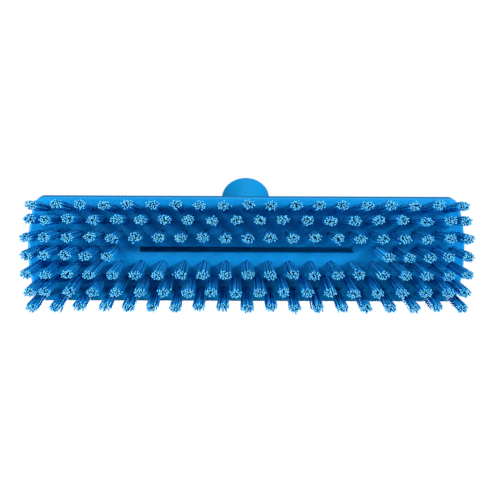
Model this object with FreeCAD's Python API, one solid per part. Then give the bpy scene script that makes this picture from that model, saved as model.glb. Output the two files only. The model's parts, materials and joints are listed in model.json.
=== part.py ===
import FreeCAD, Part
import math
import os

Vector = FreeCAD.Vector

# A water-fed deck scrub brush: one moulded block with an angled handle socket, 130 tufts of
# bristle, and the flat wire anchors that hold the folded tufts in their holes.
# X runs along the block, the socket leans towards -Y, and the tips stand on z = 0.
# The origin is under the middle of the part's bounding box. Sizes are in millimetres and
# leans in degrees. Tufts and their holes have few sides, and are measured across flats.

# Bristles
bristle_length = 36.0
tuft_tip_diameter = 7.0
tuft_root_diameter = 4.0
tuft_sides = 6
outer_lean = 8.0
end_lean = 7.3

# Tuft holes
tuft_hole_diameter = 5.0
tuft_hole_depth = 13.0
tuft_root_gap = 0.1

# Rows, measured across the block from its middle line to the holes
inner_row_y = 9.3
middle_row_y = 18.3
outer_row_y = 25.9

# Columns, measured along the block
end_column_inset = 7.1
end_column_gap = 10.9
outer_row_count = 19
middle_row_count = 18
inner_row_count = 19
centre_row_count = 4
centre_row_pitch = 11.9

# Flat wire anchors, each through the fold of one tuft
anchor_width = 2.0
anchor_thickness = 0.4
anchor_fold = 1.0
anchor_end_gap = 0.05
anchor_eye_gap = 0.05

# Block
block_length = 270.0
block_width = 64.6
block_thickness = 25.0
block_edge_thickness = 16.0
end_radius = 100.0
corner_radius = 7.0
face_edge_radius = 2.0
back_edge_radius = 8.0

# Handle socket
socket_lean = 25.0
socket_foot_height = 10.0
socket_length = 62.6
socket_diameter = 31.0
socket_rim_chamfer = 1.2
socket_root_radius = 6.0
handle_bore_diameter = 22.0
handle_bore_depth = 40.0
handle_bore_chamfer = 1.0

# Water way from the socket to the face
water_port_diameter = 6.0
water_slot_length = 132.0
water_slot_width = 3.2
water_slot_depth = 14.0
water_slot_lip = 0.4

# Sizes that follow from these
face_z = bristle_length
half_length = block_length / 2
half_width = block_width / 2
end_centre_x = half_length - end_radius
end_column_x = half_length - end_column_inset
end_column_radius = end_radius - end_column_inset
last_column_x = end_column_x - end_column_gap
lean_across = math.tan(math.radians(outer_lean))
lean_along = math.tan(math.radians(end_lean))
root_z = face_z + tuft_hole_depth - tuft_root_gap
anchor_top = root_z - anchor_fold
anchor_bottom = anchor_top - anchor_width
anchor_length = tuft_hole_diameter - 2 * anchor_end_gap
socket_tilt = math.radians(socket_lean)
socket_axis = Vector(0, -math.sin(socket_tilt), math.cos(socket_tilt))
socket_foot = Vector(0, 0, face_z + socket_foot_height)
socket_rim = socket_foot + socket_axis * socket_length

# How far a cutting shape runs past what it cuts, and how near counts as touching
overrun = 5.0
near = 0.01


# Flat-sided solids

def ring(centre, diameter):
    """The corners of a level ring with flats towards +X and -X, this far apart."""
    step = 2 * math.pi / tuft_sides
    radius = diameter / 2 / math.cos(step / 2)
    turns = [(i + 0.5) * step for i in range(tuft_sides)]
    return [centre + Vector(math.cos(t), math.sin(t), 0) * radius for t in turns]


def rectangle(centre, length, width):
    """The corners of a level rectangle."""
    signs = ((-1, -1), (1, -1), (1, 1), (-1, 1))
    return [centre + Vector(sx * length / 2, sy * width / 2, 0) for sx, sy in signs]


def between(low, high):
    """A flat-sided solid from one level loop of corners to another."""
    sides = zip(low, low[1:] + low[:1], high[1:] + high[:1], high)
    loops = [low, high] + [list(corners) for corners in sides]
    faces = [Part.Face(Part.makePolygon(loop + loop[:1])) for loop in loops]
    return Part.Solid(Part.Shell(faces))


# Places of the tufts on the face, in rows from -Y to +Y and in a curved column at each end

def end_column(y):
    """How far out the curved end column lies, this far from the middle line."""
    return end_centre_x + math.sqrt(end_column_radius ** 2 - y ** 2)


def row(count, reach, y):
    """An even row of places from -reach to reach."""
    return [(reach * (2 * i / (count - 1) - 1), y) for i in range(count)]


centre_row = [last_column_x - i * centre_row_pitch for i in range(centre_row_count)]
end_rows = (-middle_row_y, -inner_row_y, 0.0, inner_row_y, middle_row_y)
tuft_groups = {
    "row_1": row(outer_row_count, end_column(outer_row_y), -outer_row_y),
    "row_2": row(middle_row_count, last_column_x, -middle_row_y),
    "row_3": row(inner_row_count, last_column_x, -inner_row_y),
    "row_4_left": [(-x, 0.0) for x in centre_row],
    "row_4_right": [(x, 0.0) for x in centre_row],
    "row_5": row(inner_row_count, last_column_x, inner_row_y),
    "row_6": row(middle_row_count, last_column_x, middle_row_y),
    "row_7": row(outer_row_count, end_column(outer_row_y), outer_row_y),
    "end_left": [(-end_column(y), y) for y in end_rows],
    "end_right": [(end_column(y), y) for y in end_rows],
}


# Tufts and anchors

def along_tuft(x, y, z):
    """The point of a tuft's middle line at height z. Tufts fan out from the block's middle."""
    down = face_z - z
    shift = Vector(x / end_column_x * lean_along, y / outer_row_y * lean_across, 0)
    return Vector(x, y, z) + shift * down


def tuft_hole(x, y):
    """The blind hole for one tuft, leaning with it."""
    mouth = along_tuft(x, y, face_z - overrun)
    bottom = along_tuft(x, y, face_z + tuft_hole_depth)
    return between(ring(mouth, tuft_hole_diameter), ring(bottom, tuft_hole_diameter))


def flat_wire(x, y, length, gap):
    """A flat wire across the fold of one tuft, or with a gap the eye that it goes through."""
    thickness = anchor_thickness + 2 * gap
    levels = (anchor_bottom - gap, anchor_top + gap)
    low, high = [rectangle(along_tuft(x, y, z), length, thickness) for z in levels]
    return between(low, high)


def tuft(x, y):
    """One tuft, flared towards its trimmed tip, with the eye of its fold."""
    tip = ring(along_tuft(x, y, 0.0), tuft_tip_diameter)
    root = ring(along_tuft(x, y, root_z), tuft_root_diameter)
    eye = flat_wire(x, y, anchor_length + overrun, anchor_eye_gap)
    return between(tip, root).cut(eye)


def anchor(x, y):
    """The flat wire that holds one tuft's fold near the bottom of its hole."""
    return flat_wire(x, y, anchor_length, 0.0)


# Block

def block_outline():
    """The block's outline on its face: straight sides, bowed ends and rounded corners."""
    corner_y = half_width - corner_radius
    corner_x = end_centre_x + math.sqrt((end_radius - corner_radius) ** 2 - corner_y ** 2)
    corner = Vector(corner_x, corner_y, 0)
    sideways = Vector(0, 1, 0)
    endways = Vector(corner_x - end_centre_x, corner_y, 0).normalize()
    on_side = corner + sideways * corner_radius
    on_corner = corner + (sideways + endways).normalize() * corner_radius
    on_end = corner + endways * corner_radius
    end = Vector(half_length, 0, 0)

    def mirrored(point, sx, sy):
        return Vector(sx * point.x, sy * point.y, face_z)

    edges = []
    for s in (1, -1):
        ends = [mirrored(on_side, sx, s) for sx in (-1, 1)]
        edges.append(Part.LineSegment(*ends).toShape())
        bow = [mirrored(on_end, s, 1), mirrored(end, s, 1), mirrored(on_end, s, -1)]
        edges.append(Part.Arc(*bow).toShape())
        for sy in (1, -1):
            arc = [mirrored(p, s, sy) for p in (on_side, on_corner, on_end)]
            edges.append(Part.Arc(*arc).toShape())
    return Part.Wire(Part.sortEdges(edges)[0])


def crowned_bar():
    """A bar along the block with its crowned back and rounded long edges."""
    length = block_length + 2 * overrun
    start = Vector(-length / 2, -half_width, face_z)
    bar = Part.makeBox(length, block_width, block_thickness, start)
    fall = block_thickness - block_edge_thickness
    crown_radius = (half_width ** 2 + fall ** 2) / (2 * fall)
    crown_middle = Vector(-length / 2, 0, face_z + block_thickness - crown_radius)
    bar = bar.common(Part.makeCylinder(crown_radius, length, crown_middle, Vector(1, 0, 0)))

    def is_back_corner(edge):
        box = edge.BoundBox
        is_long = box.XLength > length - near
        return is_long and box.ZMin > face_z + near and abs(box.YMin) > half_width - near

    return bar.makeFillet(back_edge_radius, [e for e in bar.Edges if is_back_corner(e)])


def rounded_end():
    """The block's bowed end towards -X with its back edge rounded, and room for all the rest."""
    height = block_thickness + overrun
    middle = Vector(-end_centre_x, 0, face_z - overrun)
    disc = Part.makeCylinder(end_radius, height, middle)
    rim = [e for e in disc.Edges if e.BoundBox.ZMin > face_z]
    disc = disc.makeFillet(back_edge_radius, rim)
    rest_start = middle - Vector(0, block_width, 0)
    rest = Part.makeBox(block_length, 2 * block_width, height + overrun, rest_start)
    return disc.fuse(rest)


def block_slab():
    """The block without its socket, where its outline, its section and its two ends meet."""
    plan = Part.Face(block_outline()).extrude(Vector(0, 0, block_thickness))
    left = rounded_end()
    right = left.mirror(Vector(0, 0, 0), Vector(1, 0, 0))
    slab = plan.common(crowned_bar()).common(left).common(right)
    face_edges = [e for e in slab.Edges if e.BoundBox.ZMax < face_z + near]
    return slab.makeFillet(face_edge_radius, face_edges)


def socket_boss():
    """The boss round the handle's bore, with an eased rim."""
    boss = Part.makeCylinder(socket_diameter / 2, socket_length, socket_foot, socket_axis)
    rim = [e for e in boss.Edges if e.CenterOfMass.distanceToPoint(socket_rim) < near]
    return boss.makeChamfer(socket_rim_chamfer, rim)


def blended(slab, boss):
    """Slab and boss in one, with a hollow blend where the boss leaves the crowned back."""
    body = slab.fuse(boss)

    def is_seam(edge):
        middle = edge.valueAt((edge.FirstParameter + edge.LastParameter) / 2)
        skins = (slab.Shells[0], boss.Shells[0])
        return all(skin.distToShape(Part.Vertex(middle))[0] < near for skin in skins)

    return body.makeFillet(socket_root_radius, [e for e in body.Edges if is_seam(e)])


def handle_bore():
    """The bore that the handle screws into, with its eased mouth."""
    radius = handle_bore_diameter / 2
    bottom = socket_rim - socket_axis * handle_bore_depth
    bore = Part.makeCylinder(radius, handle_bore_depth + overrun, bottom, socket_axis)
    mouth_start = socket_rim - socket_axis * handle_bore_chamfer
    depth = handle_bore_chamfer + overrun
    mouth = Part.makeCone(radius, radius + depth, depth, mouth_start, socket_axis)
    return bore.fuse(mouth)


def water_port():
    """The passage from the bottom of the bore down to the slot."""
    length = socket_length - handle_bore_depth + overrun
    return Part.makeCylinder(water_port_diameter / 2, length, socket_foot, socket_axis)


def water_slot():
    """The long slot that lets the water out between the bristles, with an eased lip."""
    middle = Vector(0, 0, face_z)
    low, lip, high = [middle + Vector(0, 0, z) for z in (-overrun, water_slot_lip, water_slot_depth)]
    slot = between(
        rectangle(low, water_slot_length, water_slot_width),
        rectangle(high, water_slot_length, water_slot_width))
    flare = 2 * (water_slot_lip + overrun)
    eased = between(
        rectangle(low, water_slot_length + flare, water_slot_width + flare),
        rectangle(lip, water_slot_length, water_slot_width))
    return slot.fuse(eased)


def brush_block():
    """The moulded block with its socket, water way and tuft holes."""
    holes = [tuft_hole(x, y) for places in tuft_groups.values() for x, y in places]
    body = blended(block_slab(), socket_boss())
    return body.cut([handle_bore(), water_port(), water_slot()] + holes)


# The finished pieces, moved so that the origin is under the middle of the whole part

pieces = {"brush_block": brush_block()}
for name, places in tuft_groups.items():
    pieces["tufts_" + name] = Part.makeCompound([tuft(x, y) for x, y in places])
    pieces["anchors_" + name] = Part.makeCompound([anchor(x, y) for x, y in places])

whole = Part.makeCompound(list(pieces.values())).optimalBoundingBox()
to_origin = Vector(-whole.Center.x, -whole.Center.y, -whole.ZMin)

os.makedirs("parts", exist_ok=True)
for name, shape in pieces.items():
    shape.translate(to_origin)
    shape.exportStep("parts/" + name + ".step")
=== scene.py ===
"""The looks of a water-fed deck scrub brush head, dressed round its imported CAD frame.

The brush stands on its bristle tips. X runs along the block, the handle socket leans towards -Y,
and Z goes from the tips to the socket. The camera looks up at the bristles, as the photograph does.
"""

import json
import logging
import math
import random
from collections.abc import Mapping
from dataclasses import dataclass
from enum import Enum
from typing import Any

import bmesh
import bpy
from mathutils import Matrix, Vector


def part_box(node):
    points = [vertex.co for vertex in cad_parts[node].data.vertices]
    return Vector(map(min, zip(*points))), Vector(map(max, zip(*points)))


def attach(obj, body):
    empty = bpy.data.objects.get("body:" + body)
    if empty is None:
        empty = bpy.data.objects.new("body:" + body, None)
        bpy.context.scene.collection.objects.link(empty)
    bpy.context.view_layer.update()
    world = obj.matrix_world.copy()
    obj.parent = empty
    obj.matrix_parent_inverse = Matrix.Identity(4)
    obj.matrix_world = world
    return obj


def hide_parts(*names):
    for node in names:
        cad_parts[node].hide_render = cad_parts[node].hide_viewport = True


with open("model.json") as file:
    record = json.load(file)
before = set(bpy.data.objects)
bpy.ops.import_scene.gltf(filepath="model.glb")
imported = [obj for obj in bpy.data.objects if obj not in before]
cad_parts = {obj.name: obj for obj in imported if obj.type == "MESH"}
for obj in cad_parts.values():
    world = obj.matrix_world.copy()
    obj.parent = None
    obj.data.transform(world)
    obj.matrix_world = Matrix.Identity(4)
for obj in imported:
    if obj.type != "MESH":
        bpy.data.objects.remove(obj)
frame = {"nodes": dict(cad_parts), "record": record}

MM = 0.001
BODY = "root"
IMAGE_PIXELS = 500
MERGE_MM = 0.002
LIGHT_AIM = (0.0, 0.0, 0.04)
# The kinds of node that are used most
MATH = "ShaderNodeMath"
VECTOR_MATH = "ShaderNodeVectorMath"
MAP_RANGE = "ShaderNodeMapRange"
MIX = "ShaderNodeMix"
NOISE = "ShaderNodeTexNoise"
PRINCIPLED = "ShaderNodeBsdfPrincipled"
RANDOM = "FunctionNodeRandomValue"
STORE = "GeometryNodeStoreNamedAttribute"
RECALL = "GeometryNodeInputNamedAttribute"
log = logging.getLogger("scrub_brush")


class Slot(Enum):
    """The record's material slots that the new pieces fill."""

    BLOCK = "moulded_polypropylene"
    BRISTLE = "bristle_filament"


class TuftPlace(Enum):
    """Where a group of tufts stands on the face, as its CAD nodes are named."""

    ROW_1 = "row_1"
    ROW_2 = "row_2"
    ROW_3 = "row_3"
    ROW_4_LEFT = "row_4_left"
    ROW_4_RIGHT = "row_4_right"
    ROW_5 = "row_5"
    ROW_6 = "row_6"
    ROW_7 = "row_7"
    END_LEFT = "end_left"
    END_RIGHT = "end_right"


def linear(code: str) -> tuple[float, float, float, float]:
    """Turns an sRGB hex colour to linear light.

    Args:
        code: The colour as "#rrggbb".

    Returns:
        Red, green and blue in linear light, and an alpha of 1.
    """
    parts = [int(code[i:i + 2], 16) / 255 for i in (1, 3, 5)]
    light = [p / 12.92 if p <= 0.04045 else ((p + 0.055) / 1.055) ** 2.4 for p in parts]
    return (light[0], light[1], light[2], 1.0)


def add_node(tree: bpy.types.NodeTree, kind: str, inputs: Mapping[str | int, Any] | None = None,
             **settings: Any) -> bpy.types.Node:
    """Adds a node with its settings, values and links to a tree.

    Args:
        tree: The shader or geometry tree.
        kind: The type name of the node.
        inputs: For a socket's name or number, a value, an output socket that feeds it, or a node whose
            first output in use feeds it.
        **settings: The node's own properties.

    Returns:
        The new node.
    """
    node = tree.nodes.new(kind)
    for name, value in settings.items():
        setattr(node, name, value)
    for key, value in (inputs or {}).items():
        if isinstance(key, str):
            socket = next(s for s in node.inputs if s.enabled and s.name == key)
        else:
            socket = node.inputs[key]
        if isinstance(value, bpy.types.Node):
            value = next(s for s in value.outputs if s.enabled)
        if isinstance(value, bpy.types.NodeSocket):
            tree.links.new(value, socket)
        else:
            socket.default_value = value
    return node


def new_material(name: str) -> tuple[bpy.types.Material, bpy.types.NodeTree]:
    """Makes an empty node material.

    Args:
        name: The material's name.

    Returns:
        The material and its tree.
    """
    material = bpy.data.materials.new(name)
    material.use_nodes = True
    material.node_tree.nodes.clear()
    return material, material.node_tree


def new_object(name: str, mesh: bpy.types.Mesh) -> bpy.types.Object:
    """Puts a mesh in the scene at the origin.

    Args:
        name: The object's name.
        mesh: Its mesh, already in place.

    Returns:
        The new object.
    """
    made = bpy.data.objects.new(name, mesh)
    bpy.context.scene.collection.objects.link(made)
    return made


def bake_modifiers(made: bpy.types.Object) -> None:
    """Turns an object's live modifiers into a plain mesh.

    Args:
        made: The object, which keeps its name.
    """
    evaluated = made.evaluated_get(bpy.context.evaluated_depsgraph_get())
    mesh = bpy.data.meshes.new_from_object(evaluated)
    made.modifiers.clear()
    made.data = mesh
    mesh.name = made.name


def open_tree(name: str, inputs: Mapping[str, str]) -> bpy.types.NodeTree:
    """Makes an empty geometry tree with named inputs.

    Args:
        name: The tree's name.
        inputs: The kind of socket for each named input, such as "Float".

    Returns:
        The tree, which takes and gives a geometry.
    """
    tree = bpy.data.node_groups.new(name, "GeometryNodeTree")
    for label, kind in {"Geometry": "Geometry", **inputs}.items():
        tree.interface.new_socket(name=label, in_out="INPUT", socket_type="NodeSocket" + kind)
    tree.interface.new_socket(name="Geometry", in_out="OUTPUT", socket_type="NodeSocketGeometry")
    return tree


def close_tree(tree: bpy.types.NodeTree, shape: bpy.types.Node, finish: bpy.types.NodeSocket) -> None:
    """Ends a geometry tree in real, dressed geometry.

    Args:
        tree: The tree.
        shape: The node that gives the finished shape.
        finish: The tree's material input.
    """
    whole = add_node(tree, "GeometryNodeRealizeInstances", {"Geometry": shape})
    dressed = add_node(tree, "GeometryNodeSetMaterial", {"Geometry": whole, "Material": finish})
    add_node(tree, "NodeGroupOutput", {"Geometry": dressed})


def run_tree(made: bpy.types.Object, tree: bpy.types.NodeTree, values: Mapping[str, Any]) -> None:
    """Runs a geometry tree on an object and keeps the result as a plain mesh.

    Args:
        made: The object.
        tree: The geometry tree.
        values: The value for each named input.
    """
    modifier = made.modifiers.new(tree.name, "NODES")
    modifier.node_group = tree
    for item in tree.interface.items_tree:
        if item.in_out == "INPUT" and item.name in values:
            modifier[item.identifier] = values[item.name]
    bake_modifiers(made)


@dataclass(frozen=True)
class MouldedPolypropylene:
    """Blue polypropylene, injection moulded in a lightly spark-eroded mould.

    It is deep and even in colour, with a soft gloss that a fine grain breaks up.
    """

    name: str = "moulded_polypropylene"
    colour: str = "#0085c7"
    flow_colour: str = "#018dd0"
    roughness: float = 0.37
    uneven: float = 0.05
    gloss: float = 0.3
    gloss_colour: str = "#a0d4ff"
    ior: float = 1.49
    flow_size_mm: float = 42.0
    flow_stretch: float = 0.35
    # A real spark-eroded grain is near 0.1 mm, too fine to show, so it is drawn coarser and deeper
    grain_size_mm: float = 1.8
    grain_depth_mm: float = 0.25
    grain_strength: float = 1.0

    def build(self) -> bpy.types.Material:
        """Makes the material.

        Returns:
            The moulded plastic.
        """
        material, tree = new_material(self.name)
        place = add_node(tree, "ShaderNodeTexCoord").outputs["Object"]
        # Slow streaks where the melt flowed, drawn out along the block
        stretched = add_node(tree, "ShaderNodeMapping", {
            "Vector": place, "Scale": (self.flow_stretch, 1.0, 1.0)})
        flow = add_node(tree, NOISE, {
            "Vector": stretched, "Scale": 1 / (self.flow_size_mm * MM), "Detail": 3.0})
        colour = add_node(tree, MIX, {
            "Factor": flow, "A": linear(self.colour), "B": linear(self.flow_colour)}, data_type="RGBA")
        sheen = add_node(tree, MAP_RANGE, {
            "Value": flow, "To Min": self.roughness - self.uneven,
            "To Max": self.roughness + self.uneven})
        grain = add_node(tree, NOISE, {
            "Vector": place, "Scale": 1 / (self.grain_size_mm * MM), "Detail": 2.0})
        bump = add_node(tree, "ShaderNodeBump", {
            "Height": grain, "Strength": self.grain_strength, "Distance": self.grain_depth_mm * MM})
        shader = add_node(tree, PRINCIPLED, {
            "Base Color": colour, "Roughness": sheen, "IOR": self.ior, "Normal": bump,
            "Specular IOR Level": self.gloss, "Specular Tint": linear(self.gloss_colour)})
        add_node(tree, "ShaderNodeOutputMaterial", {"Surface": shader})
        return material


@dataclass(frozen=True)
class PolyesterFilament:
    """Stiff blue polyester monofilament, drawn smooth and cut square.

    Light soaks through it and makes the tufts glow softly. The drawn sides catch long thin lights, and
    the cut ends are pale where the blade left them rough; the darker ends are painted shade of ends sunk
    in the tuft.
    """

    name: str = "polyester_filament"
    colour: str = "#0c8fd6"
    light_colour: str = "#2cb0f2"
    cut_colour: str = "#7cd6e6"
    # The least paleness of a cut end, which leaves painted shade on the darkest ends
    shadiest_cut_end: float = 0.35
    roughness: float = 0.34
    cut_roughness: float = 0.6
    gloss: float = 0.4
    gloss_colour: str = "#60c0ff"
    ior: float = 1.57
    soak: float = 0.4
    soak_mm: float = 1.2
    soak_shares: tuple[float, float, float] = (0.3, 0.8, 1.0)

    def build(self) -> bpy.types.Material:
        """Makes the material.

        Returns:
            The filament plastic, which reads the tint and cut_end attributes of its mesh.
        """
        material, tree = new_material(self.name)
        tint = add_node(tree, "ShaderNodeAttribute", attribute_name="tint").outputs["Fac"]
        cut = add_node(tree, "ShaderNodeAttribute", attribute_name="cut_end").outputs["Fac"]
        side = add_node(tree, MIX, {
            "Factor": tint, "A": linear(self.colour), "B": linear(self.light_colour)}, data_type="RGBA")
        # Some ends are torn and pale; the darker ones are painted shade of ends sunk among their
        # neighbours
        cut_paleness_and_shade = add_node(tree, MAP_RANGE, {"Value": tint, "To Min": self.shadiest_cut_end, "To Max": 1.0})
        pale = add_node(tree, MATH, {0: cut, 1: cut_paleness_and_shade}, operation="MULTIPLY")
        colour = add_node(tree, MIX, {
            "Factor": pale, "A": side, "B": linear(self.cut_colour)}, data_type="RGBA")
        sheen = add_node(tree, MAP_RANGE, {
            "Value": cut, "To Min": self.roughness, "To Max": self.cut_roughness})
        shader = add_node(tree, PRINCIPLED, {
            "Base Color": colour, "Roughness": sheen, "IOR": self.ior,
            "Specular IOR Level": self.gloss, "Specular Tint": linear(self.gloss_colour),
            "Subsurface Weight": self.soak, "Subsurface Scale": self.soak_mm * MM,
            "Subsurface Radius": self.soak_shares})
        add_node(tree, "ShaderNodeOutputMaterial", {"Surface": shader})
        return material


@dataclass(frozen=True)
class StainlessWire:
    """Flat-rolled stainless wire, grey and bright with fine rolling lines along it."""

    name: str = "stainless_wire"
    colour: str = "#b9bcc0"
    dull_colour: str = "#9a9da2"
    roughness: float = 0.3
    # The anchors lie hidden in their holes, so the lines keep their real size
    line_size_mm: float = 0.12
    line_stretch: float = 0.05

    def build(self) -> bpy.types.Material:
        """Makes the material.

        Returns:
            The rolled wire.
        """
        material, tree = new_material(self.name)
        place = add_node(tree, "ShaderNodeTexCoord").outputs["Object"]
        along = add_node(tree, "ShaderNodeMapping", {
            "Vector": place, "Scale": (self.line_stretch, 1.0, 1.0)})
        lines = add_node(tree, NOISE, {"Vector": along, "Scale": 1 / (self.line_size_mm * MM)})
        colour = add_node(tree, MIX, {
            "Factor": lines, "A": linear(self.colour), "B": linear(self.dull_colour)}, data_type="RGBA")
        shader = add_node(tree, PRINCIPLED, {
            "Base Color": colour, "Metallic": 1.0, "Roughness": self.roughness})
        add_node(tree, "ShaderNodeOutputMaterial", {"Surface": shader})
        return material


@dataclass(frozen=True)
class PaintedFloor:
    """Matt pale floor paint, faintly mottled, that fades into the white surroundings.

    It shows from above only, so that it can't hide the bristles.
    """

    name: str = "painted_floor"
    colour: str = "#f5f5f4"
    mottle_colour: str = "#ededeb"
    roughness: float = 0.9
    gloss: float = 0.2
    mottle_size_mm: float = 70.0
    fade_from_mm: float = 260.0
    fade_to_mm: float = 750.0

    def build(self) -> bpy.types.Material:
        """Makes the material.

        Returns:
            The floor paint.
        """
        material, tree = new_material(self.name)
        place = add_node(tree, "ShaderNodeTexCoord").outputs["Object"]
        mottle = add_node(tree, NOISE, {
            "Vector": place, "Scale": 1 / (self.mottle_size_mm * MM), "Detail": 4.0})
        colour = add_node(tree, MIX, {
            "Factor": mottle, "A": linear(self.colour), "B": linear(self.mottle_colour)},
            data_type="RGBA")
        paint = add_node(tree, PRINCIPLED, {
            "Base Color": colour, "Roughness": self.roughness, "Specular IOR Level": self.gloss})
        clear = add_node(tree, "ShaderNodeBsdfTransparent")
        away = add_node(tree, VECTOR_MATH, {0: place}, operation="LENGTH")
        fade = add_node(tree, MAP_RANGE, {
            "Value": away, "From Min": self.fade_from_mm * MM, "From Max": self.fade_to_mm * MM},
            interpolation_type="SMOOTHSTEP")
        below = add_node(tree, "ShaderNodeNewGeometry").outputs["Backfacing"]
        unseen = add_node(tree, MATH, {0: below, 1: fade}, operation="MAXIMUM")
        shader = add_node(tree, "ShaderNodeMixShader", {0: unseen, 1: paint, 2: clear})
        add_node(tree, "ShaderNodeOutputMaterial", {"Surface": shader})
        return material


@dataclass
class BrushBlock:
    """The moulded block, with its socket, water slot and tuft holes."""

    node: str = "brush_block"
    name: str = "block"
    sharp_degrees: float = 50.0

    def build(self) -> bpy.types.Object:
        """Copies the CAD block into one closed skin with evenly shaded curves.

        Returns:
            The block's object.
        """
        skin = bmesh.new()
        skin.from_mesh(frame["nodes"][self.node].data)
        bmesh.ops.remove_doubles(skin, verts=skin.verts, dist=MERGE_MM * MM)
        limit = math.radians(self.sharp_degrees)
        for face in skin.faces:
            face.smooth = True
        for edge in skin.edges:
            edge.smooth = len(edge.link_faces) == 2 and edge.calc_face_angle() < limit
        mesh = bpy.data.meshes.new(self.name)
        skin.to_mesh(mesh)
        skin.free()
        made = new_object(self.name, mesh)
        even = made.modifiers.new("even_shading", "WEIGHTED_NORMAL")
        even.keep_sharp = True
        bake_modifiers(made)
        return made

    def dress(self, made: bpy.types.Object, finish: bpy.types.Material) -> None:
        """Gives the block its plastic and puts it in the CAD block's place.

        Args:
            made: The block's object.
            finish: The moulded plastic.
        """
        made.data.materials.clear()
        made.data.materials.append(finish)
        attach(made, BODY)
        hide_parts(self.node)


@dataclass
class HandleThread:
    """The coarse thread moulded inside the handle socket."""

    mount: str = "handle_socket"
    name: str = "handle_thread"
    pitch_mm: float = 4.5
    height_mm: float = 1.3
    root_width_mm: float = 2.6
    crest_width_mm: float = 1.2
    first_mm: float = 3.0
    last_mm: float = 34.0
    sunk_mm: float = 0.2
    steps_per_turn: int = 40

    def tree(self) -> bpy.types.NodeTree:
        """Makes the node tree that winds the thread along Z.

        Returns:
            The tree, with its sizes as named inputs.
        """
        tree = open_tree("wound_thread", {
            "Radius": "Float", "Length": "Float", "Turns": "Float", "Height": "Float",
            "Root width": "Float", "Crest width": "Float", "Steps": "Int", "Finish": "Material"})
        given = add_node(tree, "NodeGroupInput").outputs
        helix = add_node(tree, "GeometryNodeCurveSpiral", {
            "Resolution": given["Steps"], "Rotations": given["Turns"], "Start Radius": given["Radius"],
            "End Radius": given["Radius"], "Height": given["Length"]})
        level = add_node(tree, "GeometryNodeSetCurveNormal", {"Curve": helix}, mode="Z_UP")
        ridge = add_node(tree, "GeometryNodeCurvePrimitiveQuadrilateral", {
            "Height": given["Height"], "Bottom Width": given["Root width"],
            "Top Width": given["Crest width"], "Offset": 0.0}, mode="TRAPEZOID")
        turned = add_node(tree, "GeometryNodeTransform", {
            "Geometry": ridge, "Rotation": (0.0, 0.0, math.radians(90))})
        swept = add_node(tree, "GeometryNodeCurveToMesh", {
            "Curve": level, "Profile Curve": turned, "Fill Caps": True})
        close_tree(tree, swept, given["Finish"])
        return tree

    def build(self, finish: bpy.types.Material) -> bpy.types.Object:
        """Winds the thread and lays it into the socket's bore.

        Args:
            finish: The moulded plastic.

        Returns:
            The thread's object.
        """
        bore = next(m for m in frame["record"]["mounts"] if m["name"] == self.mount)
        axis = Vector(bore["axis"]).normalized()
        mouth = Vector(bore["pos_m"]) + axis * bore["dims"]["length_mm"] / 2 * MM
        length = self.last_mm - self.first_mm
        made = new_object(self.name, bpy.data.meshes.new(self.name))
        run_tree(made, self.tree(), {
            "Radius": (bore["dims"]["r_mm"] + self.sunk_mm - self.height_mm / 2) * MM,
            "Length": length * MM, "Turns": length / self.pitch_mm, "Height": self.height_mm * MM,
            "Root width": self.root_width_mm * MM, "Crest width": self.crest_width_mm * MM,
            "Steps": self.steps_per_turn, "Finish": finish})
        turn = Vector((0, 0, 1)).rotation_difference(-axis).to_matrix().to_4x4()
        made.data.transform(Matrix.Translation(mouth - axis * self.first_mm * MM) @ turn)
        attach(made, BODY)
        return made


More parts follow.
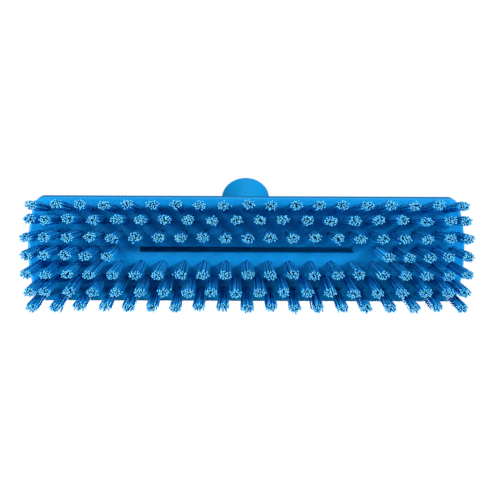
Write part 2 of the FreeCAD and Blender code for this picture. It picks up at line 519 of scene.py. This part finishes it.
@dataclass
class FilamentBundle:
    """What all tufts share: how their filaments are packed, spread and cut.

    Radii run from a tuft's middle line to that of its outermost filament. Heights are shares of the free
    length, from 0 at the face to 1 at the tip.
    """

    filaments: int = 26
    # The real filament is near 0.7 mm, drawn stouter so that each one shows at the photo's scale
    diameter_mm: float = 1.05
    end_share: float = 0.75
    hole_radius_mm: float = 2.15
    tip_radius_mm: float = 3.25
    oval: float = 0.15
    flare_power: float = 0.4
    depth_mm: float = 6.0
    hollow: float = 0.12
    scatter: float = 0.05
    clumping: float = 0.65
    clump_scale: float = 1.6
    clump_core: float = 1.6
    tuft_turn: float = 1.7
    loose_share: float = 0.02
    loose_least: float = 0.3
    loose_reach_mm: float = 1.3
    bow_mm: float = 0.3
    trim_mm: float = 0.15
    sides: int = 6
    steps: int = 6
    crowding: float = 2.5

    def values(self, seed: int, length: float, finish: bpy.types.Material) -> dict[str, Any]:
        """Gives the tree's inputs for one group of tufts.

        Args:
            seed: The group's own seed.
            length: How far the bristles stand out of the face, in metres.
            finish: The filament plastic.

        Returns:
            The value of each named input.
        """
        return {
            "Filaments": self.filaments, "Sides": self.sides, "Steps": self.steps, "Seed": seed,
            "Filament radius": self.diameter_mm / 2 * MM, "End share": self.end_share,
            "Hole radius": self.hole_radius_mm * MM, "Tip radius": self.tip_radius_mm * MM,
            "Oval": self.oval, "Flare power": self.flare_power,
            "Root height": -self.depth_mm * MM / length, "Crowding": self.crowding,
            "Hollow": self.hollow, "Tuft turn": self.tuft_turn, "Scatter": self.scatter,
            "Clumping": self.clumping, "Clump scale": self.clump_scale, "Clump core": self.clump_core,
            "Loose share": self.loose_share, "Loose least": self.loose_least,
            "Loose reach": self.loose_reach_mm * MM,
            "Bow": self.bow_mm * MM, "Trim": self.trim_mm * MM, "Finish": finish}

    @staticmethod
    def plant(tree: bpy.types.NodeTree, given: bpy.types.NodeOutputs) -> bpy.types.Node:
        """Makes a point for each filament, with what sets it apart from its neighbours.

        Args:
            tree: The tree.
            given: The tree's inputs.

        Returns:
            The node that gives the points.
        """
        mouths = add_node(tree, STORE, {
            "Geometry": given["Geometry"], "Name": "mouth",
            "Value": add_node(tree, "GeometryNodeInputPosition")}, data_type="FLOAT_VECTOR")
        points = add_node(tree, "GeometryNodeDuplicateElements", {
            "Geometry": mouths, "Amount": given["Filaments"]}, domain="POINT")
        order = points.outputs["Duplicate Index"]
        # The filaments fill the tuft's disc like the seeds of a sunflower
        last = add_node(tree, MATH, {0: given["Filaments"], 1: 0.5}, operation="SUBTRACT")
        core = add_node(tree, MATH, {0: given["Hollow"], 1: given["Hollow"]}, operation="MULTIPLY")
        area = add_node(tree, MAP_RANGE, {
            "Value": order, "From Min": -0.5, "From Max": last, "To Min": core, "To Max": 1.0})
        reach = add_node(tree, MATH, {0: area}, operation="SQRT")
        number = add_node(tree, RECALL, {"Name": "tuft"}, data_type="INT")
        own_turn = add_node(tree, MATH, {0: number, 1: given["Tuft turn"]}, operation="MULTIPLY")
        golden_angle = math.pi * (3 - math.sqrt(5))
        turn = add_node(tree, MATH, {0: order, 1: golden_angle, 2: own_turn}, operation="MULTIPLY_ADD")
        spoke = add_node(tree, "ShaderNodeCombineXYZ", {"X": reach})
        spot = add_node(tree, "ShaderNodeVectorRotate", {
            "Vector": spoke, "Angle": turn}, rotation_type="Z_AXIS")
        seeds = [
            add_node(tree, MATH, {0: given["Seed"], 1: float(n)}, operation="ADD") for n in range(1, 7)]
        shake = add_node(tree, RANDOM, {
            "Min": (-1.0, -1.0, 0.0), "Max": (1.0, 1.0, 0.0), "Seed": seeds[0]}, data_type="FLOAT_VECTOR")
        shaken = add_node(tree, VECTOR_MATH, {
            0: shake, 1: given["Scatter"], 2: spot}, operation="MULTIPLY_ADD")
        # Slow noise draws neighbours together into locks, most of all in the tuft's middle
        seat = add_node(tree, VECTOR_MATH, {
            0: (0.0, 0.0, 1.0), 1: own_turn, 2: spot}, operation="MULTIPLY_ADD")
        noise = add_node(tree, NOISE, {"Vector": seat, "Scale": given["Clump scale"], "Detail": 1.0})
        pull = add_node(tree, VECTOR_MATH, {
            0: noise.outputs["Color"], 1: (1.0, 1.0, 0.0), 2: (-0.5, -0.5, 0.0)},
            operation="MULTIPLY_ADD")
        inward = add_node(tree, MATH, {0: given["Clump core"], 1: reach}, operation="SUBTRACT")
        strength = add_node(tree, MATH, {0: inward, 1: given["Clumping"]}, operation="MULTIPLY")
        splay = add_node(tree, VECTOR_MATH, {0: pull, 1: strength, 2: shaken}, operation="MULTIPLY_ADD")
        draw = add_node(tree, RANDOM, {"Min": 0.0, "Max": 1.0, "Seed": seeds[1]}, data_type="FLOAT")
        loose = add_node(tree, MATH, {0: draw, 1: given["Loose share"]}, operation="LESS_THAN")
        astray = add_node(tree, RANDOM, {
            "Min": given["Loose least"], "Max": 1.0, "Seed": seeds[2]}, data_type="FLOAT")
        how_far = add_node(tree, MATH, {0: astray, 1: given["Loose reach"]}, operation="MULTIPLY")
        stray = add_node(tree, MATH, {0: loose, 1: how_far}, operation="MULTIPLY")
        sideways = add_node(tree, RANDOM, {
            "Min": (-1.0, -1.0, 0.0), "Max": (1.0, 1.0, 0.0), "Seed": seeds[3]}, data_type="FLOAT_VECTOR")
        bow = add_node(tree, VECTOR_MATH, {0: sideways, 1: given["Bow"]}, operation="MULTIPLY")
        trim = add_node(tree, RANDOM, {
            "Min": 0.0, "Max": given["Trim"], "Seed": seeds[4]}, data_type="FLOAT")
        tint = add_node(tree, RANDOM, {"Min": 0.0, "Max": 1.0, "Seed": seeds[5]}, data_type="FLOAT")
        vectors = {"splay": splay, "bow": bow}
        for name, value in {**vectors, "stray": stray, "trim": trim, "tint": tint}.items():
            points = add_node(tree, STORE, {"Geometry": points, "Name": name, "Value": value},
                              data_type="FLOAT_VECTOR" if name in vectors else "FLOAT")
        return points

    @staticmethod
    def grow(tree: bpy.types.NodeTree, given: bpy.types.NodeOutputs,
             points: bpy.types.Node) -> bpy.types.Node:
        """Draws each filament as a line from inside its hole to its trimmed tip.

        Args:
            tree: The tree.
            given: The tree's inputs.
            points: The node that gives a point for each filament.

        Returns:
            The node that gives the lines.
        """
        straight = add_node(tree, "GeometryNodeResampleCurve", {
            "Curve": add_node(tree, "GeometryNodeCurvePrimitiveLine"), "Count": given["Steps"]})
        planted = add_node(tree, "GeometryNodeInstanceOnPoints", {"Points": points, "Instance": straight})
        lines = add_node(tree, "GeometryNodeRealizeInstances", {"Geometry": planted})
        mouth, toward_tip, splay, bow = [
            add_node(tree, RECALL, {"Name": name}, data_type="FLOAT_VECTOR")
            for name in ("mouth", "toward_tip", "splay", "bow")]
        stray, trim = [
            add_node(tree, RECALL, {"Name": name}, data_type="FLOAT") for name in ("stray", "trim")]
        # The steps crowd towards the tip, where the filament narrows
        even = add_node(tree, "GeometryNodeSplineParameter").outputs["Factor"]
        left = add_node(tree, MATH, {0: 1.0, 1: even}, operation="SUBTRACT")
        crowded = add_node(tree, MATH, {0: left, 1: given["Crowding"]}, operation="POWER")
        height = add_node(tree, MAP_RANGE, {
            "Value": crowded, "To Min": 1.0, "To Max": given["Root height"]})
        free = add_node(tree, MATH, {0: height, 1: 0.0}, operation="MAXIMUM")
        square = add_node(tree, MATH, {0: free, 1: free}, operation="MULTIPLY")
        middle = add_node(tree, VECTOR_MATH, {
            0: toward_tip, 1: height, 2: mouth}, operation="MULTIPLY_ADD")
        # The bundle opens out of its hole, wider along the block than across it
        flare = add_node(tree, MATH, {0: free, 1: given["Flare power"]}, operation="POWER")
        packed = add_node(tree, MAP_RANGE, {
            "Value": flare, "To Min": given["Hole radius"], "To Max": given["Tip radius"]})
        radius = add_node(tree, MATH, {0: stray, 1: square, 2: packed}, operation="MULTIPLY_ADD")
        wider = add_node(tree, MATH, {0: given["Oval"], 1: free}, operation="MULTIPLY")
        oval = add_node(tree, VECTOR_MATH, {
            0: (1.0, -1.0, 0.0), 1: wider, 2: (1.0, 1.0, 0.0)}, operation="MULTIPLY_ADD")
        flattened = add_node(tree, VECTOR_MATH, {0: splay, 1: oval}, operation="MULTIPLY")
        spread = add_node(tree, VECTOR_MATH, {
            0: flattened, 1: radius, 2: middle}, operation="MULTIPLY_ADD")
        # An arch of x - x * x is only a quarter high at its middle
        arch = add_node(tree, MATH, {0: free, 1: square}, operation="SUBTRACT")
        full_arch = add_node(tree, MATH, {0: arch, 1: 4.0}, operation="MULTIPLY")
        bowed = add_node(tree, VECTOR_MATH, {0: bow, 1: full_arch, 2: spread}, operation="MULTIPLY_ADD")
        short = add_node(tree, MATH, {0: trim, 1: free}, operation="MULTIPLY")
        place = add_node(tree, VECTOR_MATH, {
            0: (0.0, 0.0, 1.0), 1: short, 2: bowed}, operation="MULTIPLY_ADD")
        return add_node(tree, "GeometryNodeSetPosition", {"Geometry": lines, "Position": place})

    @staticmethod
    def thicken(tree: bpy.types.NodeTree, given: bpy.types.NodeOutputs,
                lines: bpy.types.Node) -> bpy.types.Node:
        """Gives each line a filament's thickness and marks the flat, square-cut ends.

        Args:
            tree: The tree.
            given: The tree's inputs.
            lines: The node that gives the filaments' lines.

        Returns:
            The node that gives the filaments.
        """
        at_tip = add_node(tree, "GeometryNodeCurveEndpointSelection", {"Start Size": 0, "End Size": 1})
        narrowed = add_node(tree, "GeometryNodeSwitch", {
            "Switch": at_tip, "False": 1.0, "True": given["End share"]}, input_type="FLOAT")
        section = add_node(tree, "GeometryNodeCurvePrimitiveCircle", {
            "Resolution": given["Sides"], "Radius": given["Filament radius"]})
        swept = add_node(tree, "GeometryNodeCurveToMesh", {
            "Curve": lines, "Profile Curve": section, "Scale": narrowed, "Fill Caps": True})
        # The sides' faces have four corners, and the ends have more
        corners = add_node(tree, "GeometryNodeInputMeshFaceNeighbors").outputs["Vertex Count"]
        limit = 4.5
        is_end = add_node(tree, MATH, {0: corners, 1: limit}, operation="GREATER_THAN")
        is_side = add_node(tree, MATH, {0: corners, 1: limit}, operation="LESS_THAN")
        marked = add_node(tree, STORE, {
            "Geometry": swept, "Name": "cut_end", "Value": is_end}, data_type="FLOAT", domain="FACE")
        return add_node(tree, "GeometryNodeSetShadeSmooth", {"Geometry": marked, "Shade Smooth": is_side})

    def build(self) -> bpy.types.NodeTree:
        """Makes the node tree that grows the filaments of each tuft.

        Its mesh has one point at each hole's mouth, with the attributes toward_tip and tuft.

        Returns:
            The tree, with its sizes as named inputs.
        """
        whole_numbers = ("Filaments", "Sides", "Steps", "Seed")
        numbers = (
            "Filament radius", "End share", "Hole radius", "Tip radius", "Oval", "Flare power",
            "Root height", "Crowding", "Hollow", "Tuft turn", "Scatter", "Clumping", "Clump scale",
            "Clump core", "Loose share", "Loose least", "Loose reach", "Bow", "Trim")
        tree = open_tree("tuft_filaments", {
            **dict.fromkeys(whole_numbers, "Int"), **dict.fromkeys(numbers, "Float"),
            "Finish": "Material"})
        given = add_node(tree, "NodeGroupInput").outputs
        lines = self.grow(tree, given, self.plant(tree, given))
        close_tree(tree, self.thicken(tree, given, lines), given["Finish"])
        return tree


@dataclass
class TuftGroup:
    """One row or end column of tufts, each a bundle of filaments in its own hole."""

    place: TuftPlace
    bundle: FilamentBundle
    tree: bpy.types.NodeTree
    seed: int
    sway_mm: float = 0.5
    # Corners as near as this to a solid's end belong to the ring that closes it
    ring_mm: float = 0.1
    # Tufts are numbered apart from group to group, so that no two are turned alike
    number_step: int = 100

    @property
    def node(self) -> str:
        """The CAD node that the group stands for."""
        return "tufts_" + self.place.value

    def axes(self, face_z: float) -> list[tuple[Vector, Vector]]:
        """Reads the middle line of each tuft from its CAD solid.

        Args:
            face_z: The height of the block's face.

        Returns:
            For each tuft, the mouth of its hole and the way from there to the middle of its tip.
        """
        solids = bmesh.new()
        solids.from_mesh(frame["nodes"][self.node].data)
        bmesh.ops.remove_doubles(solids, verts=solids.verts, dist=MERGE_MM * MM)
        # A dict keeps its order, so every run walks the corners alike
        left = dict.fromkeys(solids.verts)
        found = []
        while left:
            reached = [left.popitem()[0]]
            for vert in reached:
                for near in [e.other_vert(vert) for e in vert.link_edges]:
                    if near in left:
                        del left[near]
                        reached.append(near)
            places = [v.co.copy() for v in reached]
            low = min(p.z for p in places) + self.ring_mm * MM
            high = max(p.z for p in places) - self.ring_mm * MM
            tip, root = [sum(ring, Vector()) / len(ring) for ring in (
                [p for p in places if p.z < low], [p for p in places if p.z > high])]
            mouth = tip.lerp(root, (face_z - tip.z) / (root.z - tip.z))
            found.append((mouth, tip - mouth))
        solids.free()
        return sorted(found, key=lambda pair: (round(pair[0].x, 5), round(pair[0].y, 5)))

    def build(self, face_z: float, finish: bpy.types.Material) -> bpy.types.Object:
        """Grows the group's filaments and puts them in the CAD tufts' place.

        Args:
            face_z: The height of the block's face.
            finish: The filament plastic.

        Returns:
            The group's object.
        """
        swaying = random.Random(self.seed)
        axes = self.axes(face_z)
        mesh = bpy.data.meshes.new(self.place.value)
        mesh.from_pydata([tuple(mouth) for mouth, _ in axes], [], [])
        ways = []
        for _, way in axes:
            sway = Vector((swaying.uniform(-1, 1), swaying.uniform(-1, 1), 0)) * self.sway_mm * MM
            ways.extend(way + sway)
        mesh.attributes.new("toward_tip", "FLOAT_VECTOR", "POINT").data.foreach_set("vector", ways)
        numbers = [i + self.number_step * self.seed for i in range(len(axes))]
        mesh.attributes.new("tuft", "INT", "POINT").data.foreach_set("value", numbers)
        made = new_object("bristles_" + self.place.value, mesh)
        run_tree(made, self.tree, self.bundle.values(self.seed, face_z, finish))
        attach(made, BODY)
        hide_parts(self.node)
        return made


@dataclass
class AnchorGroup:
    """The flat wire anchors of one group of tufts, deep in their holes."""

    place: TuftPlace

    def dress(self, finish: bpy.types.Material) -> bpy.types.Object:
        """Gives the CAD anchors their wire finish.

        Args:
            finish: The rolled wire.

        Returns:
            The CAD node's object.
        """
        made = frame["nodes"]["anchors_" + self.place.value]
        made.data.materials.clear()
        made.data.materials.append(finish)
        return made


@dataclass(frozen=True)
class SoftLight:
    """One soft box, with its place and size in metres and its power in watts."""

    name: str
    place: tuple[float, float, float]
    width: float
    height: float
    power: float
    shines: bool = True

    def build(self) -> bpy.types.Object:
        """Hangs the light in its place.

        Returns:
            The light's object.
        """
        data = bpy.data.lights.new(self.name, "AREA")
        data.shape = "RECTANGLE"
        data.size, data.size_y = self.width, self.height
        data.energy = self.power
        made = bpy.data.objects.new(self.name, data)
        made.location = self.place
        way = Vector(LIGHT_AIM) - Vector(self.place)
        made.rotation_mode = "QUATERNION"
        made.rotation_quaternion = way.to_track_quat("-Z", "Y")
        made.visible_camera = False
        made.visible_glossy = self.shines
        bpy.context.scene.collection.objects.link(made)
        return made


@dataclass
class PhotoCamera:
    """The photograph's camera, a long lens below the brush, a little off to two sides."""

    target: Vector
    target_pixel: tuple[float, float] = (247.75, 256.9)
    focal_pixels: float = 1676.8
    distance: float = 1.0
    tilt_degrees: float = 6.8
    yaw_degrees: float = 1.05
    roll_degrees: float = 0.22
    sensor_mm: float = 36.0
    near: float = 0.01
    far: float = 100.0

    def build(self) -> bpy.types.Object:
        """Puts the camera where its target falls on the right pixel.

        Returns:
            The camera's object.
        """
        tilt, yaw, roll = (
            math.radians(a) for a in (self.tilt_degrees, self.yaw_degrees, self.roll_degrees))
        ahead = Vector((math.tan(yaw), math.tan(tilt), 1.0)).normalized()
        side = Vector((1, 0, 0))
        right = (side - ahead * side.dot(ahead)).normalized()
        up = ahead.cross(right) * -1.0
        right, up = (right * math.cos(roll) + up * math.sin(roll),
                     up * math.cos(roll) - right * math.sin(roll))
        middle = IMAGE_PIXELS / 2
        across = (self.target_pixel[0] - middle) / self.focal_pixels
        upward = (middle - self.target_pixel[1]) / self.focal_pixels
        data = bpy.data.cameras.new("camera")
        data.sensor_width = self.sensor_mm
        data.lens = self.focal_pixels / IMAGE_PIXELS * self.sensor_mm
        data.clip_start, data.clip_end = self.near, self.far
        made = bpy.data.objects.new("camera", data)
        turn = Matrix((right, up, -ahead)).transposed()
        place = self.target - (ahead + right * across + up * upward) * self.distance
        made.matrix_world = Matrix.Translation(place) @ turn.to_4x4()
        bpy.context.scene.collection.objects.link(made)
        bpy.context.scene.camera = made
        return made


@dataclass
class Studio:
    """The pale floor, the even surroundings and the soft boxes."""

    floor_radius: float = 0.8
    floor_sides: int = 96
    floor_drop_mm: float = 0.3
    backdrop: str = "#ffffff"
    fill: float = 0.05
    # The stronger key stands at the upper right, where the photograph's shadows point away from
    lights: tuple[SoftLight, ...] = (
        SoftLight("key_left", (-0.68, -0.55, -1.77), 0.38, 0.28, 11.4),
        SoftLight("key_right", (1.01, -0.54, -1.61), 0.38, 0.28, 24.2),
        SoftLight("front", (0.3, -0.6, -1.84), 0.6, 0.4, 2.4),
        SoftLight("side_left", (-0.95, 0.06, -0.3), 0.4, 0.4, 12.8),
        SoftLight("side_right", (0.97, 0.0, -0.2), 0.5, 0.35, 7.8, shines=False),
        SoftLight("rim", (0.1, -0.98, 0.2), 0.9, 0.22, 6.6),
        SoftLight("top", (0.0, 0.5, 1.15), 0.9, 0.9, 16.0),
    )

    def floor(self, finish: bpy.types.Material) -> bpy.types.Object:
        """Lays the floor under the bristle tips.

        Args:
            finish: The floor paint.

        Returns:
            The floor's object.
        """
        disc = bmesh.new()
        bmesh.ops.create_circle(
            disc, cap_ends=True, segments=self.floor_sides, radius=self.floor_radius)
        mesh = bpy.data.meshes.new("floor")
        disc.to_mesh(mesh)
        disc.free()
        mesh.transform(Matrix.Translation((0, 0, -self.floor_drop_mm * MM)))
        mesh.materials.append(finish)
        made = new_object("floor", mesh)
        # The keys shine up through the floor, and it throws no light back
        made.visible_shadow = False
        made.visible_diffuse = False
        made.visible_glossy = False
        return made

    def world(self) -> bpy.types.World:
        """Makes the white surroundings, dimmer as a light than they look.

        Returns:
            The scene's world.
        """
        world = bpy.data.worlds.new("studio")
        world.use_nodes = True
        tree = world.node_tree
        tree.nodes.clear()
        seen = add_node(tree, "ShaderNodeBackground", {"Color": linear(self.backdrop), "Strength": 1.0})
        lit = add_node(tree, "ShaderNodeBackground", {
            "Color": linear(self.backdrop), "Strength": self.fill})
        path = add_node(tree, "ShaderNodeLightPath")
        either = add_node(tree, "ShaderNodeMixShader", {
            0: path.outputs["Is Camera Ray"], 1: lit, 2: seen})
        add_node(tree, "ShaderNodeOutputWorld", {"Surface": either})
        bpy.context.scene.world = world
        return world

    def build(self, finish: bpy.types.Material) -> None:
        """Sets up the floor, the world and the lights.

        Args:
            finish: The floor paint.
        """
        self.floor(finish)
        self.world()
        for light in self.lights:
            light.build()
        bpy.context.scene.view_settings.view_transform = "Standard"


def main() -> None:
    """Builds and dresses the brush, then its studio and camera."""
    logging.basicConfig(level=logging.INFO, format="%(name)s: %(message)s")
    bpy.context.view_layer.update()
    plastic = MouldedPolypropylene().build()
    filament = PolyesterFilament().build()
    wire = StainlessWire().build()
    face_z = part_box("brush_block")[0].z

    block = BrushBlock()
    body = block.build()
    block.dress(body, plastic)
    log.info("%s: %d faces", body.name, len(body.data.polygons))
    thread = HandleThread().build(plastic)
    log.info("%s: %d faces", thread.name, len(thread.data.polygons))

    bundle = FilamentBundle()
    tree = bundle.build()
    for seed, place in enumerate(TuftPlace, start=1):
        bristles = TuftGroup(place, bundle, tree, seed).build(face_z, filament)
        anchors = AnchorGroup(place).dress(wire)
        log.info("%s: %d faces, held by %s", bristles.name, len(bristles.data.polygons), anchors.name)

    tips_low, tips_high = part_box("tufts_row_4_left")
    middle_line = (tips_low.y + tips_high.y) / 2
    Studio().build(PaintedFloor().build())
    PhotoCamera(Vector((0.0, middle_line, 0.0))).build()


if __name__ == "__main__":
    main()
